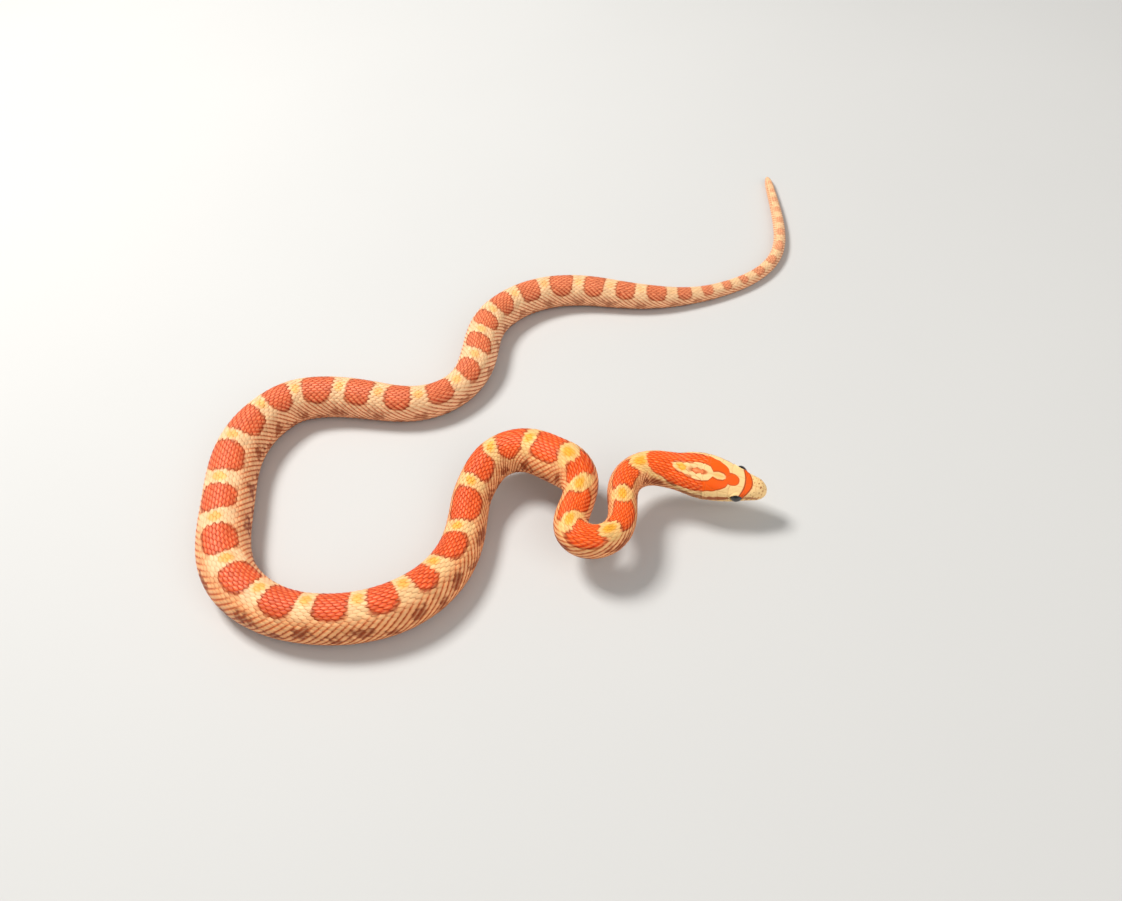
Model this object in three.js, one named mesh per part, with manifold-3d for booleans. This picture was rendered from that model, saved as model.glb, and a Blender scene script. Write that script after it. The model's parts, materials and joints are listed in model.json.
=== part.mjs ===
// A young corn snake, life size, lying still on the floor with its neck and head raised.
// Millimetres, +Z up. The origin is on the floor, under the middle of the outline seen from above.
// "s" is the distance from the tip of the snout along the midline of the body.
// "angle" is the way round a section, in degrees from the middle of the back, right side positive.

import * as THREE from 'three';
import Module from 'manifold-3d';

const wasm = await Module();
wasm.setup();

// Driving sizes
const bodyLength = 400;
const headLength = 17;
const nodeGap = 0.3;
const snoutRound = 2.2;
const tailTipRound = 5;
const neckLift = 5.6;
const liftEndsAt = [63, 112];
const headRoll = 26;
const rollEndsAt = [13, 36];

// The way the body lies, seen from above: where each bend starts and ends, and its turn in
// degrees, left positive, for someone who walks from the snout to the tail
const snoutPlace = [41.3, -49.8];
const snoutHeading = 155;
const bends = [
  [19, 34, 107],
  [35, 65, -266],
  [52, 71, 137],
  [74, 100, 152],
  [88, 96, -27],
  [100, 141, -86],
  [133, 173, -55],
  [157, 182, -27],
  [188, 237, -93],
  [214, 223, -19],
  [239, 272, 99],
  [274, 288, -16],
  [273, 320, -102],
  [291, 388, 95],
  [346, 372, 29],
];

// Width of the body at each s
const widths = [
  [0, 3.3], [2, 4.5], [4, 5.5], [6, 6.7], [8, 7.8], [10, 8.5], [12.5, 8.9], [15, 8.5],
  [18, 7.4], [24, 7.0], [38, 5.7], [50, 6.9], [60, 6.7], [70, 9.5], [78, 9.4], [98, 8.0],
  [128, 10.0], [145, 9.7], [172, 10.9], [198, 10.9], [230, 9.5], [258, 7.8], [270, 8.7],
  [292, 8.4], [308, 7.7], [322, 6.4], [340, 3.8], [352, 3.3], [378, 2.9], [390, 2.5],
  [400, 2.0],
];

// Height of the crown above the midline and depth of the underside below it, over the half width
const crownRise = [[0, 0.92], [3, 0.86], [7, 0.76], [12, 0.72], [18, 0.84], [26, 0.95], [40, 0.98], [400, 0.98]];
const bellyDrop = [[0, 0.62], [3, 0.60], [7, 0.56], [12, 0.60], [18, 0.78], [26, 0.90], [40, 0.92], [400, 0.92]];

// Squareness of the sections: 2 is an ellipse, more is squarer
const squareness = [[0, 2.2], [4, 2.6], [12, 2.6], [20, 2.2], [40, 2.05], [400, 2.05]];

// The flat of the belly, as a share of the drop of the full curve
const bellyFlat = 0.92;

// Soft forms of the head: s, angle, height of the swelling, its reach along and its reach round
const headForms = [
  [5.3, 50, 0.34, 2.0, 0.70],
  [5.2, 0, -0.10, 2.2, 0.90],
  [3.2, 74, -0.16, 0.9, 0.65],
  [9.6, 62, 0.10, 2.4, 1.00],
  [12.4, 88, 0.18, 2.6, 1.20],
  [9.8, 22, 0.08, 2.6, 1.00],
  [6.0, 102, 0.12, 3.6, 0.40],
  [5.0, 126, -0.10, 4.0, 0.50],
  [1.2, 168, 0.06, 0.9, 0.50],
];

// Mouth, eyes and nostrils
const mouthAngle = [[0, 92], [1.5, 103], [4, 111], [7, 113], [10, 110], [12, 104], [15, 104]];
const mouthColumn = 104;
const mouthDepth = 0.26;
const mouthEndsAt = [11.4, 12.6];
const lipHalfWidth = 2.6;
const eyeAt = 5.5;
const eyeAngle = 76;
const eyeRadius = 1.35;
const eyeProud = 0.42;
const nostrilAt = 1.25;
const nostrilAngle = 68;
const nostrilRadius = 0.26;

// Where the body is parted
const parts = [
  ['neck_1', 17, 36], ['neck_2', 36, 48], ['neck_3', 48, 60],
  ['torso_1', 60, 87], ['torso_2', 87, 114], ['torso_3', 114, 150], ['torso_4', 150, 190],
  ['torso_5', 190, 226], ['torso_6', 226, 258], ['torso_7', 258, 290], ['torso_8', 290, 334],
  ['tail_1', 334, 366], ['tail_2', 366, 400],
];
const headStep = 0.45;
const bodyStep = 2.5;
const headColumns = [
  0, 9, 18, 27, 35, 43, 51, 59, 67, 75, 83, 90, 96, 101, 104, 107, 112, 119, 127, 136, 146, 157, 169, 180,
];
const bodyColumns = [0, 15, 30, 45, 60, 75, 90, 105, 120, 133, 146, 160, 180];

const rad = Math.PI / 180;

function clamp01(x) {
  return Math.min(Math.max(x, 0), 1);
}

function ease(x) {
  const t = clamp01(x);
  return t * t * (3 - 2 * t);
}

// A smooth curve through the stations of a profile
function along(stations, s) {
  let i = 0;
  while (i < stations.length - 2 && s > stations[i + 1][0]) i += 1;
  const slope = (a, b) => (stations[b][1] - stations[a][1]) / (stations[b][0] - stations[a][0]);
  const last = stations.length - 1;
  const tangent = (k) => {
    if (k === 0) return slope(0, 1);
    if (k === last) return slope(last - 1, last);
    const before = slope(k - 1, k);
    const after = slope(k, k + 1);
    return before * after <= 0 ? 0 : (2 * before * after) / (before + after);
  };
  const [from, low] = stations[i];
  const [to, high] = stations[i + 1];
  const span = to - from;
  const t = clamp01((s - from) / span);
  const stretch = t * t * (3 - 2 * t);
  const leave = t * (1 - t) * (1 - t);
  const arrive = t * t * (t - 1);
  return low + (high - low) * stretch + span * (leave * tangent(i) + arrive * tangent(i + 1));
}

// The midline in plan, walked in short steps
const walkStep = 0.25;
const walk = [new THREE.Vector2(...snoutPlace)];

function headingAt(s) {
  let heading = snoutHeading;
  for (const [from, to, turn] of bends) heading += turn * ease((s - from) / (to - from));
  return heading * rad;
}

for (let s = 0; s < bodyLength; s += walkStep) {
  const heading = headingAt(s + walkStep / 2);
  const stride = new THREE.Vector2(Math.cos(heading), Math.sin(heading)).multiplyScalar(walkStep);
  walk.push(walk[walk.length - 1].clone().add(stride));
}

function liftAt(s) {
  return neckLift * (1 - ease((s - liftEndsAt[0]) / (liftEndsAt[1] - liftEndsAt[0])));
}

// Rounding of the two ends: 0 at the very tip, 1 where the full section is reached
function endRound(s) {
  const nose = 1 - clamp01(s / snoutRound);
  const tail = 1 - clamp01((bodyLength - s) / tailTipRound);
  return (1 - nose ** 2.5) ** 0.4 * Math.sqrt(1 - tail ** 2);
}

function midlineHeight(s) {
  return liftAt(s) + (along(widths, s) / 2) * along(bellyDrop, s) * bellyFlat;
}

function midlinePoint(s) {
  const k = Math.min(Math.floor(s / walkStep), walk.length - 2);
  const plan = walk[k].clone().lerp(walk[k + 1], s / walkStep - k);
  return new THREE.Vector3(plan.x, plan.y, midlineHeight(s));
}

// The upright frame of a section: the way to the tail, to the right side and to the back
function frameAt(s) {
  const reach = 1;
  const level = s > headLength ? 1 : 0;
  const heading = headingAt(s);
  const climb = level * (liftAt(s + reach) - liftAt(s - reach)) / (2 * reach);
  const tailward = new THREE.Vector3(Math.cos(heading), Math.sin(heading), climb).normalize();
  const right = new THREE.Vector3(-Math.sin(heading), Math.cos(heading), 0);
  const back = new THREE.Vector3().crossVectors(tailward, right);
  const roll = headRoll * rad * (1 - ease((s - rollEndsAt[0]) / (rollEndsAt[1] - rollEndsAt[0])));
  right.applyAxisAngle(tailward, -roll);
  back.applyAxisAngle(tailward, -roll);
  return { tailward, right, back };
}

// The column of the mesh that follows the mouth is turned to the angle of the mouth
function turnedToMouth(column, s) {
  const mouth = along(mouthAngle, s);
  const side = Math.sign(column) || 1;
  const size = Math.abs(column);
  const front = (size * mouth) / mouthColumn;
  const under = 180 - ((180 - size) * (180 - mouth)) / (180 - mouthColumn);
  return side * (size < mouthColumn ? front : under);
}

function power(x, exponent) {
  return Math.sign(x) * Math.abs(x) ** exponent;
}

// Swellings, hollows and the mouth line, as a distance out of the plain section
function headRelief(s, angle) {
  if (s > headLength + 4) return 0;
  const halfWidth = along(widths, s) / 2;
  const size = Math.abs(angle);
  let relief = 0;
  for (const [at, centre, height, reachAlong, reachRound] of headForms) {
    const offRound = (size - centre) * rad * halfWidth;
    relief += height * Math.exp(-(((s - at) / reachAlong) ** 2) - (offRound / reachRound) ** 2);
  }
  const offMouth = Math.abs(size - along(mouthAngle, s));
  const lips = 1 - ease(offMouth / lipHalfWidth);
  const corner = 1 - ease((s - mouthEndsAt[0]) / (mouthEndsAt[1] - mouthEndsAt[0]));
  return relief * ease(s / 1.2) - mouthDepth * lips * corner;
}

// A point of the surface
function surfacePoint(s, angle, outBy = 0) {
  const { right, back } = frameAt(s);
  const halfWidth = (along(widths, s) / 2) * endRound(s);
  const bend = 2 / along(squareness, s);
  const rise = halfWidth * along(crownRise, s);
  const drop = halfWidth * along(bellyDrop, s);
  const across = power(Math.sin(angle * rad), bend);
  const upward = power(Math.cos(angle * rad), bend);
  const x = halfWidth * across;
  const z = upward > 0 ? rise * upward : Math.max(drop * upward, -drop * bellyFlat);
  const outward = new THREE.Vector2(across, upward).normalize();
  const out = headRelief(s, angle) + outBy;
  return midlinePoint(s)
    .addScaledVector(right, x + out * outward.x)
    .addScaledVector(back, z + out * outward.y);
}

function bothSides(columns) {
  const left = columns.slice(1, -1).reverse().map((column) => -column);
  return [...columns, ...left];
}

// The s of each ring of a stretch, evenly spaced
function ringPlaces(from, to, step) {
  const count = Math.max(2, Math.ceil((to - from) / step));
  const places = [];
  for (let i = 0; i <= count; i += 1) places.push(from + ((to - from) * i) / count);
  return places;
}

// A closed stretch of the body between two sections
function stretchGeometry(places, columns) {
  const round = bothSides(columns);
  const positions = [];
  const faces = [];
  const add = (point) => positions.push(point.x, point.y, point.z) / 3 - 1;
  const rings = places.map((s) => {
    if (endRound(s) < 0.01) return [add(surfacePoint(s, mouthColumn, -1e-6))];
    return round.map((column) => add(surfacePoint(s, turnedToMouth(column, s))));
  });
  const capAt = (s) => [add(midlinePoint(s))];
  if (rings[0].length > 1) rings.unshift(capAt(places[0]));
  if (rings[rings.length - 1].length > 1) rings.push(capAt(places[places.length - 1]));
  for (let i = 0; i < rings.length - 1; i += 1) {
    const near = rings[i];
    const far = rings[i + 1];
    const count = Math.max(near.length, far.length);
    for (let j = 0; j < count; j += 1) {
      const k = (j + 1) % count;
      if (near.length === 1) faces.push(near[0], far[j], far[k]);
      else if (far.length === 1) faces.push(near[j], far[0], near[k]);
      else faces.push(near[j], far[k], near[k], near[j], far[j], far[k]);
    }
  }
  const geometry = new THREE.BufferGeometry();
  geometry.setAttribute('position', new THREE.Float32BufferAttribute(positions, 3));
  geometry.setIndex(faces);
  geometry.computeVertexNormals();
  return geometry;
}

function toManifold(geometry) {
  const vertProperties = new Float32Array(geometry.getAttribute('position').array);
  const triVerts = new Uint32Array(geometry.getIndex().array);
  return new wasm.Manifold(new wasm.Mesh({ numProp: 3, vertProperties, triVerts }));
}

function fromManifold(solid) {
  const mesh = solid.getMesh();
  const geometry = new THREE.BufferGeometry();
  geometry.setAttribute('position', new THREE.BufferAttribute(mesh.vertProperties, 3));
  geometry.setIndex(new THREE.BufferAttribute(mesh.triVerts, 1));
  geometry.computeVertexNormals();
  return geometry;
}

// A ball with shared vertices, so that it closes
function ballGeometry(centre, radius, detail) {
  const rings = detail / 2;
  const positions = [centre.x, centre.y, centre.z + radius];
  const faces = [];
  for (let i = 1; i < rings; i += 1) {
    for (let j = 0; j < detail; j += 1) {
      const point = new THREE.Vector3().setFromSphericalCoords(
        radius, (i * Math.PI) / rings, (j * 2 * Math.PI) / detail);
      positions.push(centre.x + point.z, centre.y + point.x, centre.z + point.y);
    }
  }
  const bottom = positions.push(centre.x, centre.y, centre.z - radius) / 3 - 1;
  const at = (i, j) => 1 + (i - 1) * detail + (j % detail);
  for (let j = 0; j < detail; j += 1) {
    faces.push(0, at(1, j), at(1, j + 1));
    for (let i = 1; i < rings - 1; i += 1) {
      faces.push(at(i, j), at(i + 1, j), at(i + 1, j + 1));
      faces.push(at(i, j), at(i + 1, j + 1), at(i, j + 1));
    }
    faces.push(bottom, at(rings - 1, j + 1), at(rings - 1, j));
  }
  const geometry = new THREE.BufferGeometry();
  geometry.setAttribute('position', new THREE.Float32BufferAttribute(positions, 3));
  geometry.setIndex(faces);
  geometry.computeVertexNormals();
  return geometry;
}

function eyeCentre(side) {
  return surfacePoint(eyeAt, side * eyeAngle, eyeProud - eyeRadius);
}

const skinColour = new THREE.Color(0.84, 0.36, 0.16);
const paleColour = new THREE.Color(0.93, 0.64, 0.42);
const eyeColour = new THREE.Color(0.03, 0.02, 0.02);

function skinMaterial(color) {
  return new THREE.MeshStandardMaterial({ color, roughness: 0.5, metalness: 0 });
}

function makeHead() {
  const snoutRings = [0, 0.06, 0.18, 0.36, 0.6, 0.9, 1.3, 1.75];
  const places = [...snoutRings, ...ringPlaces(snoutRound, headLength - nodeGap / 2, headStep)];
  let head = toManifold(stretchGeometry(places, headColumns));
  for (const side of [-1, 1]) {
    head = head.subtract(toManifold(ballGeometry(eyeCentre(side), eyeRadius + nodeGap, 20)));
    const nostril = surfacePoint(nostrilAt, side * nostrilAngle, -nostrilRadius * 0.35);
    head = head.subtract(toManifold(ballGeometry(nostril, nostrilRadius, 10)));
  }
  const mesh = new THREE.Mesh(fromManifold(head), skinMaterial(skinColour));
  mesh.name = 'head';
  return mesh;
}

function makeEye(name, side) {
  const material = new THREE.MeshStandardMaterial({ color: eyeColour, roughness: 0.12, metalness: 0 });
  const mesh = new THREE.Mesh(ballGeometry(new THREE.Vector3(), eyeRadius, 20), material);
  mesh.name = name;
  mesh.position.copy(eyeCentre(side));
  return mesh;
}

function makeStretch([name, from, to]) {
  const end = to === bodyLength ? to : to - nodeGap / 2;
  const places = ringPlaces(from + nodeGap / 2, end, bodyStep);
  if (to === bodyLength) places.splice(-2, 1, 395, 397.2, 398.8, 399.7);
  const colour = name.startsWith('tail') ? paleColour : skinColour;
  const mesh = new THREE.Mesh(stretchGeometry(places, bodyColumns), skinMaterial(colour));
  mesh.name = name;
  return mesh;
}

const snake = new THREE.Group();
snake.add(makeHead(), makeEye('eye_right', 1), makeEye('eye_left', -1));
snake.add(...parts.map(makeStretch));

export default snake;
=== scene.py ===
"""A young corn snake, life size and still, dressed with skin, scales, scutes, eyes and its markings.

Lengths are millimetres until a mesh is written, which turns them into metres.
"s" is the distance from the tip of the snout along the midline of the body, and "angle" is the way
round a section in degrees from the middle of the back, right side positive.
"""

import json

import bpy
import numpy as np
from bpy.props import FloatProperty, FloatVectorProperty, IntProperty, PointerProperty
from mathutils import Matrix, Vector

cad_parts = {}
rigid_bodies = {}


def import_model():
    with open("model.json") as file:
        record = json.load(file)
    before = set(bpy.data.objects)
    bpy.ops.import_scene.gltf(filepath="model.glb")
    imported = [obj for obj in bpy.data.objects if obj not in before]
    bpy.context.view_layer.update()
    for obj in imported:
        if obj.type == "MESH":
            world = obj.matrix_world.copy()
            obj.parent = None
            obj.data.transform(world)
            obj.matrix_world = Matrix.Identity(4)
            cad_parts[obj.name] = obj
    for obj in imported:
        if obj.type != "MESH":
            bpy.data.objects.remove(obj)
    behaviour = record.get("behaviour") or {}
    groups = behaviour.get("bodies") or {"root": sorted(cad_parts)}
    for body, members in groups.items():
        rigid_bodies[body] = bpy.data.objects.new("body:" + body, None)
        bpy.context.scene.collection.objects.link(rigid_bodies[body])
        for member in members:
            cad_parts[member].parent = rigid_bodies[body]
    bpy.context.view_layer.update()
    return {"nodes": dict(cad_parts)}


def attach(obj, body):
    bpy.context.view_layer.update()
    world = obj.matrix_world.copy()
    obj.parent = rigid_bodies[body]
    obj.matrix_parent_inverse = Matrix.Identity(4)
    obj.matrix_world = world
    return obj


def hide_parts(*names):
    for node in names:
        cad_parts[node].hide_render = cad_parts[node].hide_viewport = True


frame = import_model()

bl_info = {
    "name": "Corn snake",
    "version": (1, 0, 0),
    "blender": (4, 5, 0),
    "location": "3D View > Sidebar > Corn snake",
    "description": "Skin, scales, scutes, eyes and stage of a life-size corn snake",
    "category": "Object",
}

MM = 0.001

# Driving sizes, the same as the solids have
BODY_LENGTH = 400
HEAD_LENGTH = 17
SNOUT_ROUND = 2.2
TAIL_TIP_ROUND = 5
NECK_LIFT = 5.6
LIFT_ENDS_AT = (63, 112)
HEAD_ROLL = 26
ROLL_ENDS_AT = (13, 36)
SNOUT_PLACE = (41.3, -49.8)
SNOUT_HEADING = 155
WALK_STEP = 0.25

# Where each bend starts and ends, and its turn in degrees, left positive
BENDS = (
    (19, 34, 107),
    (35, 65, -266),
    (52, 71, 137),
    (74, 100, 152),
    (88, 96, -27),
    (100, 141, -86),
    (133, 173, -55),
    (157, 182, -27),
    (188, 237, -93),
    (214, 223, -19),
    (239, 272, 99),
    (274, 288, -16),
    (273, 320, -102),
    (291, 388, 95),
    (346, 372, 29),
)
WIDTHS = (
    (0, 3.3), (2, 4.5), (4, 5.5), (6, 6.7), (8, 7.8), (10, 8.5), (12.5, 8.9), (15, 8.5),
    (18, 7.4), (24, 7.0), (38, 5.7), (50, 6.9), (60, 6.7), (70, 9.5), (78, 9.4), (98, 8.0),
    (128, 10.0), (145, 9.7), (172, 10.9), (198, 10.9), (230, 9.5), (258, 7.8), (270, 8.7),
    (292, 8.4), (308, 7.7), (322, 6.4), (340, 3.8), (352, 3.3), (378, 2.9), (390, 2.5),
    (400, 2.0),
)
CROWN_RISE = (
    (0, 0.92), (3, 0.86), (7, 0.76), (12, 0.72), (18, 0.84), (26, 0.95), (40, 0.98), (400, 0.98),
)
BELLY_DROP = (
    (0, 0.62), (3, 0.60), (7, 0.56), (12, 0.60), (18, 0.78), (26, 0.90), (40, 0.92), (400, 0.92),
)
SQUARENESS = ((0, 2.2), (4, 2.6), (12, 2.6), (20, 2.2), (40, 2.05), (400, 2.05))
BELLY_FLAT = 0.92

# Soft forms of the head: s, angle, height, reach along and reach round
HEAD_FORMS = (
    (5.3, 50, 0.34, 2.0, 0.70),
    (5.2, 0, -0.10, 2.2, 0.90),
    (3.2, 74, -0.16, 0.9, 0.65),
    (9.6, 62, 0.10, 2.4, 1.00),
    (12.4, 88, 0.18, 2.6, 1.20),
    (9.8, 22, 0.08, 2.6, 1.00),
    (6.0, 102, 0.12, 3.6, 0.40),
    (5.0, 126, -0.10, 4.0, 0.50),
    (1.2, 168, 0.06, 0.9, 0.50),
)
MOUTH_ANGLE = ((0, 92), (1.5, 103), (4, 111), (7, 113), (10, 110), (12, 104), (15, 104))
MOUTH_COLUMN = 104
MOUTH_DEPTH = 0.26
MOUTH_ENDS_AT = (11.4, 12.6)
LIP_HALF_WIDTH = 2.6
EYE_AT = 5.5
EYE_ANGLE = 76
EYE_RADIUS = 1.35
EYE_PROUD = 0.42
NOSTRIL_AT = 1.25
NOSTRIL_ANGLE = 68
NOSTRIL_RADIUS = 0.26
NOSTRIL_DEPTH = 0.3
EYE_OPENING = 1.08
EYE_PIT = 0.62
EYE_RING = 0.09

# Where the small scales take over from the plates of the head: angle, s
COAT_STARTS = (
    (0, 12.2), (12, 12.2), (25, 11.5), (60, 11.5), (90, 11.7), (104, 12.6), (124, 12.4), (130, 9.0),
    (150, 7.2), (180, 6.8),
)
COAT_FADE = 0.7
THINNEST_COAT = 0.05
PLATE_DEPTH = 0.02

# Seams between the plates of the head as lines of (s, angle), drawn for the right side
MIDDLE_SEAMS = (
    ((0.5, 0), (3.95, 0)),
    ((7.5, 0), (11.9, 0)),
    ((0.9, 180), (6.6, 180)),
)
SIDE_SEAMS = (
    ((0.5, 0), (0.75, 45), (0.9, 82), (0.6, 100)),
    ((1.95, 0), (1.8, 25), (1.7, 42)),
    ((0.75, 40), (1.8, 44), (2.6, 52), (3.7, 56)),
    ((3.95, 0), (3.9, 14), (3.75, 40), (3.8, 56)),
    ((3.9, 14), (6.5, 12.5), (7.5, 0)),
    ((6.5, 12.5), (6.9, 28), (6.8, 46)),
    ((3.8, 56), (4.6, 56)),
    ((6.8, 44), (8.2, 42), (9.8, 36), (11.2, 24), (12.0, 10), (11.9, 0)),
    ((6.8, 46), (7.1, 72), (6.9, 96)),
    ((6.5, 66), (7.15, 68)),
    ((7.1, 72), (8.9, 68)),
    ((8.9, 40), (8.8, 68), (9.0, 98)),
    ((8.8, 66), (11.3, 63)),
    ((11.2, 26), (11.4, 96)),
    ((0.9, 84), (2.3, 90), (3.9, 96), (5.3, 99), (6.9, 97), (9.0, 98), (11.4, 94)),
    ((0.85, 64), (2.2, 68)),
    ((2.3, 50), (2.3, 90)),
    ((3.6, 55), (3.75, 96)),
    ((0.6, 106), (1.6, 124), (4.0, 130), (8.0, 130), (12.0, 126)),
    ((3.6, 180), (3.4, 150)),
    ((1.1, 180), (1.3, 150), (3.4, 148), (6.4, 156)),
)
LIP_SEAMS_AT = (1.7, 2.7, 3.7, 4.7, 6.1, 7.6, 9.2, 10.8)
CHIN_SEAMS_AT = (1.2, 2.2, 3.3, 4.5, 5.8, 7.2, 8.7, 10.3)
SEAM_DEPTH = 0.06
SEAM_HALF_WIDTH = 0.085

# The rings and columns of the skin, and the places of its closest rings
HEAD_COLUMNS = 360
BODY_COLUMNS = 90
BODY_RINGS = 320
SKIN_JOIN_AT = 13.4
NOSE_RINGS = (0, 0.03, 0.08, 0.16, 0.26, 0.38, 0.52)
TAIL_TIP_RINGS = (3.4, 2.2, 1.3, 0.7, 0.3, 0.08, 0)
MERGE_WITHIN = 2e-7

# Where the rows of scales over the back grow fewer: s, and the rows from there on
FEWER_ROWS = ((318, 27), (332, 21), (345, 17), (357, 15), (370, 13), (384, 9))
BACK_EDGE = 127
THROAT_ENDS_AT = 17
VENT_AT = 334

# One scale from its tip round to its root on the right side: across, along
SCALE_OUTLINE = ((0.0, 1.0), (0.44, 0.90), (0.80, 0.69), (1.0, 0.46), (0.84, 0.23), (0.46, 0.06))

# On the sheet that the looks are baked on: the size of a scale, and the share that the head has
BAKE_PATCH = 0.003
BAKE_HEAD_SHARE = 0.36
BAKE_LENGTHS = 4

# The pale bands across the back, from the snout to the tail tip
PALE_BANDS = (
    25, 34.3, 43.5, 52.4, 61.5, 67.9, 77.5, 86.4, 94.6, 105.8, 116.1, 123.7, 132.7, 143.1, 153.8,
    165, 177.1, 188.2, 200.6, 211, 219.9, 230.6, 240.1, 249, 258, 266, 274.6, 282.5, 290.5, 298.8,
    307.7, 315.7, 323.2, 330.6, 336.5, 341.8, 346.5, 350.9, 356.3, 361.8, 368.5, 374, 379.2, 384.2,
    389, 393.5, 397.6,
)

# Half the length of a band in mm, the share by which its sides narrow, and how far a saddle
# reaches down each side in degrees
BAND_HALF = (
    (0, 2.2), (50, 2.1), (65, 1.9), (85, 1.5), (105, 1.65), (150, 1.85), (180, 2.1), (212, 1.5),
    (235, 1.7), (262, 1.75), (284, 1.45), (310, 1.5), (340, 1.3), (400, 1.3),
)
BAND_PINCH = ((0, 0.72), (70, 0.65), (100, 0.3), (130, 0.12), (400, 0))
SADDLE_REACH = (
    (0, 44), (28, 44), (38, 50), (57, 54), (65, 48), (82, 53), (111, 52), (148, 51), (159, 44),
    (171, 42), (182, 46), (206, 53), (225, 50), (250, 54), (272, 46), (290, 54), (325, 56),
    (345, 58), (360, 44), (400, 26),
)

# How strong the saddles and the gold middles of the bands are
SADDLE_SHARE = ((0, 1), (325, 1), (350, 0.7), (375, 0.4), (400, 0.3))
GOLD_SHARE = ((0, 1), (90, 0.95), (130, 0.8), (200, 0.7), (300, 0.45), (345, 0), (400, 0))

# How far the middle of the markings lies to the right of the middle of the back, in degrees
MARKS_TURN = (
    (0, 0), (15, 0), (20, -9), (24, -7), (30, 1), (34, 2), (39, 16), (44, 5), (48, 12), (52, 4),
    (57, -16), (62, -4), (65, -14), (68, -5), (78, 5), (82, 11), (86, 0), (100, 2), (106, -9),
    (116, -14), (128, -8), (143, -14), (171, -10), (177, 1), (194, 5), (206, -3), (220, -12),
    (235, -9), (250, -15), (272, -6), (286, -13), (330, -15), (400, -5),
)

# How far the bands lean tailward for each degree to the right, in mm
MARKS_LEAN = (
    (0, 0), (45, 0), (55, -0.025), (72, -0.025), (90, 0.018), (115, 0), (180, 0), (190, 0.03),
    (205, 0.028), (218, 0), (250, 0), (275, 0.033), (300, 0), (400, 0),
)

# The inner and outer edges of the orange field of the head: s, angle
FIELD_INNER = (
    (7.0, 0), (7.6, 0), (8.2, 5), (9.2, 6), (10.2, 3), (10.9, 13), (12.5, 18), (14, 16.5),
    (15.5, 12), (17, 11), (17.9, 7), (18.3, 0), (25, 0),
)
FIELD_OUTER = (
    (7.0, 9), (7.5, 24), (8.4, 34), (9.5, 42), (10.5, 45), (11.5, 50), (13, 55), (15, 58),
    (17, 61), (18.4, 62), (19.6, 53), (21, 48), (22.4, 43), (23.2, 30), (23.6, 0), (25, 0),
)

# The photograph's frame and its camera
PHOTO_WIDTH = 1122
FOCAL_PIXELS = 1000
CAMERA_PLACE = (3.4, -173.4, 155.7)
CAMERA_PITCH = 46.1
CAMERA_ROLL = 9.45
SENSOR_WIDTH = 36

# The lights: where each stands and how wide it is, in metres
KEY_PLACE = (-0.30, 0.28, 0.60)
KEY_WIDTH = 0.22
FILL_PLACE = (0.35, -0.55, 0.50)
FILL_WIDTH = 0.6
LAMP_COLOUR = (1.0, 0.98, 0.95)
SKY_COLOUR = (1.0, 0.99, 0.97, 1)

# The floor's width and how far it lies below zero, in metres
FLOOR_WIDTH = 6
FLOOR_DROP = 0.00005

# How high the grain of the materials stands, in metres
GRAIN_HEIGHT = 0.00003

SEED = 7


def ease(x):
    """Rises smoothly from 0 to 1 while x goes from 0 to 1."""
    t = np.clip(x, 0, 1)
    return t * t * (3 - 2 * t)


def along(stations, x):
    """A smooth curve through the stations of a profile."""
    places, values = np.array(stations, float).T
    slopes = np.diff(values) / np.diff(places)
    before, after = slopes[:-1], slopes[1:]
    same_way = before * after > 0
    total = np.where(same_way, before + after, 1)
    middle = np.where(same_way, 2 * before * after / total, 0)
    tangents = np.concatenate([slopes[:1], middle, slopes[-1:]])
    i = np.clip(np.searchsorted(places, x, side="left") - 1, 0, len(places) - 2)
    span = places[i + 1] - places[i]
    t = np.clip((x - places[i]) / span, 0, 1)
    level = values[i] + (values[i + 1] - values[i]) * ease(t)
    leave = t * (1 - t) ** 2 * tangents[i]
    arrive = t * t * (t - 1) * tangents[i + 1]
    return level + span * (leave + arrive)


# The body's form


def heading_at(s):
    """The way that the midline goes at s, in radians."""
    turned = sum(turn * ease((s - start) / (end - start)) for start, end, turn in BENDS)
    return np.radians(SNOUT_HEADING + turned)


def walked_midline():
    """Points of the midline in plan, WALK_STEP apart."""
    middles = np.arange(0, BODY_LENGTH, WALK_STEP) + WALK_STEP / 2
    heading = heading_at(middles)
    strides = WALK_STEP * np.stack([np.cos(heading), np.sin(heading)], 1)
    start = np.array([SNOUT_PLACE], float)
    return np.concatenate([start, start + np.cumsum(strides, 0)])


WALK = walked_midline()


def lift_at(s):
    """How high the neck and head are held."""
    start, end = LIFT_ENDS_AT
    return NECK_LIFT * (1 - ease((s - start) / (end - start)))


def end_round(s):
    """0 at the very tips, 1 where the full section is reached."""
    nose = 1 - np.clip(s / SNOUT_ROUND, 0, 1)
    tail = 1 - np.clip((BODY_LENGTH - s) / TAIL_TIP_ROUND, 0, 1)
    return np.maximum(1 - nose**2.5, 0) ** 0.4 * np.sqrt(np.maximum(1 - tail**2, 0))


def midline(s):
    """The middle of the body at s."""
    k = np.clip(np.floor(s / WALK_STEP).astype(int), 0, len(WALK) - 2)
    share = (s / WALK_STEP - k)[:, None]
    plan = WALK[k] * (1 - share) + WALK[k + 1] * share
    height = lift_at(s) + along(WIDTHS, s) / 2 * along(BELLY_DROP, s) * BELLY_FLAT
    return np.column_stack([plan, height])


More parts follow.
